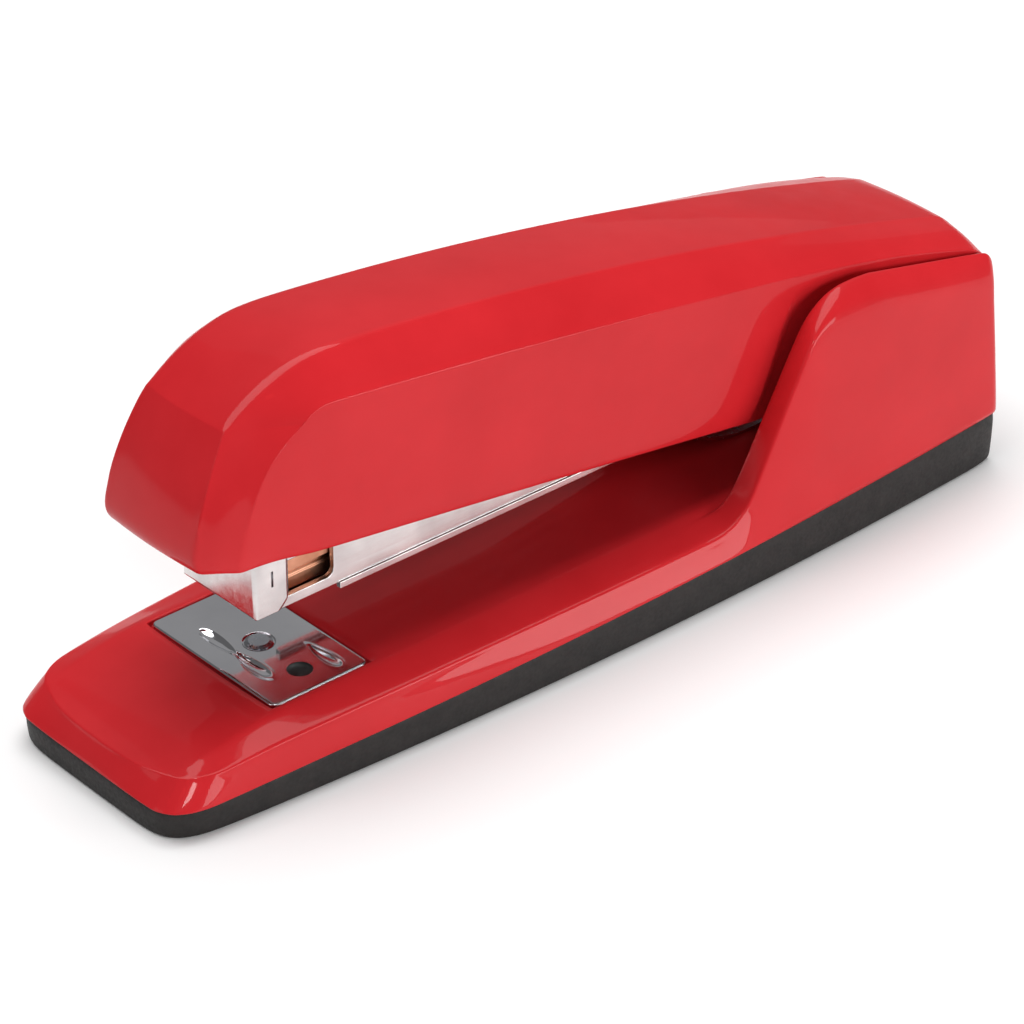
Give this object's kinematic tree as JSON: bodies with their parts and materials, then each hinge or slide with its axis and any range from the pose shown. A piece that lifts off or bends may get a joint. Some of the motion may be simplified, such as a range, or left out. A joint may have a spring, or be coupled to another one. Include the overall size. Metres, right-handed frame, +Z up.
{
  "type": "stapler",
  "caption": "Full-strip desk stapler with a tilting cover, a hinged magazine between two rear flanks, and a turning anvil plate on a padded base.",
  "frame": {"origin": "centre of the object's footprint on the surface it stands on", "axes": "+Z up, -X towards the nose, +Y across to the stapler's right seen from behind, y = 0 is its middle plane"},
  "size_m": [0.1807, 0.0528, 0.0674],
  "materials": {
    "red_lacquer": "high gloss lacquer over die-cast and pressed metal",
    "black_pad": "matte moulded rubber",
    "zinc_steel": "zinc-plated sheet steel",
    "dark_steel": "dark phosphated steel",
    "spring_steel": "bright spring steel",
    "chrome_plate": "polished chrome plating",
    "nickel_steel": "bright nickel plating over pressed steel",
    "copper_rail": "copper-washed steel",
    "staple_wire": "galvanised wire glued in a strip",
    "black_button": "moulded plastic push button"
  },
  "bodies": {
    "base": {"base_casting": "red_lacquer", "base_pad": "black_pad", "hinge_bracket": "zinc_steel", "bracket_rivets": "zinc_steel", "hinge_pin": "zinc_steel", "pin_ring": "dark_steel", "lift_spring": "spring_steel", "lift_spring_rivet": "zinc_steel", "anvil_spring": "spring_steel"},
    "anvil_lifter": {"anvil_post": "spring_steel", "anvil_button": "black_button"},
    "anvil": {"anvil_plate": "chrome_plate"},
    "magazine": {"magazine_channel": "nickel_steel", "nose_sleeve": "nickel_steel", "inner_rail": "copper_rail", "staple_strip": "staple_wire", "guide_rod": "spring_steel", "rod_anchor": "dark_steel", "pusher_spring": "spring_steel", "cover_spring": "spring_steel"},
    "pusher": {"pusher": "copper_rail"},
    "cover": {"cover_shell": "red_lacquer", "cover_liner": "zinc_steel", "liner_rivets": "zinc_steel", "driver_blade": "spring_steel", "driver_spring": "spring_steel", "driver_rivets": "zinc_steel"}
  },
  "joints": [
    {"name": "magazine_hinge", "type": "hinge", "parent": "base", "child": "magazine", "pos_m": [0.074, 0, 0.031], "axis": [0, 1, 0], "range_deg": [-4.4, 45], "stiffness_Nm_per_rad": 3, "springref_deg": 4.58, "deforming": ["lift_spring"]},
    {"name": "cover_hinge", "type": "hinge", "parent": "magazine", "child": "cover", "pos_m": [0.074, 0, 0.031], "axis": [0, 1, 0], "range_deg": [-3.37, 40], "stiffness_Nm_per_rad": 1.5, "springref_deg": 6.88, "deforming": ["cover_spring"]},
    {"name": "pusher_slide", "type": "slide", "parent": "magazine", "child": "pusher", "axis": [1, 0, 0], "range_m": [0, 0.08], "stiffness_N_per_m": 30, "springref_m": -0.04, "deforming": ["pusher_spring"]},
    {"name": "anvil_lift", "type": "slide", "parent": "base", "child": "anvil_lifter", "axis": [0, 0, 1], "range_m": [0, 0.0022], "stiffness_N_per_m": 800, "springref_m": -0.002, "deforming": ["anvil_spring"]},
    {"name": "anvil_turn", "type": "hinge", "parent": "anvil_lifter", "child": "anvil", "pos_m": [-0.05565, 0, 0.0129], "axis": [0, 0, 1], "range_deg": [0, 180]}
  ]
}
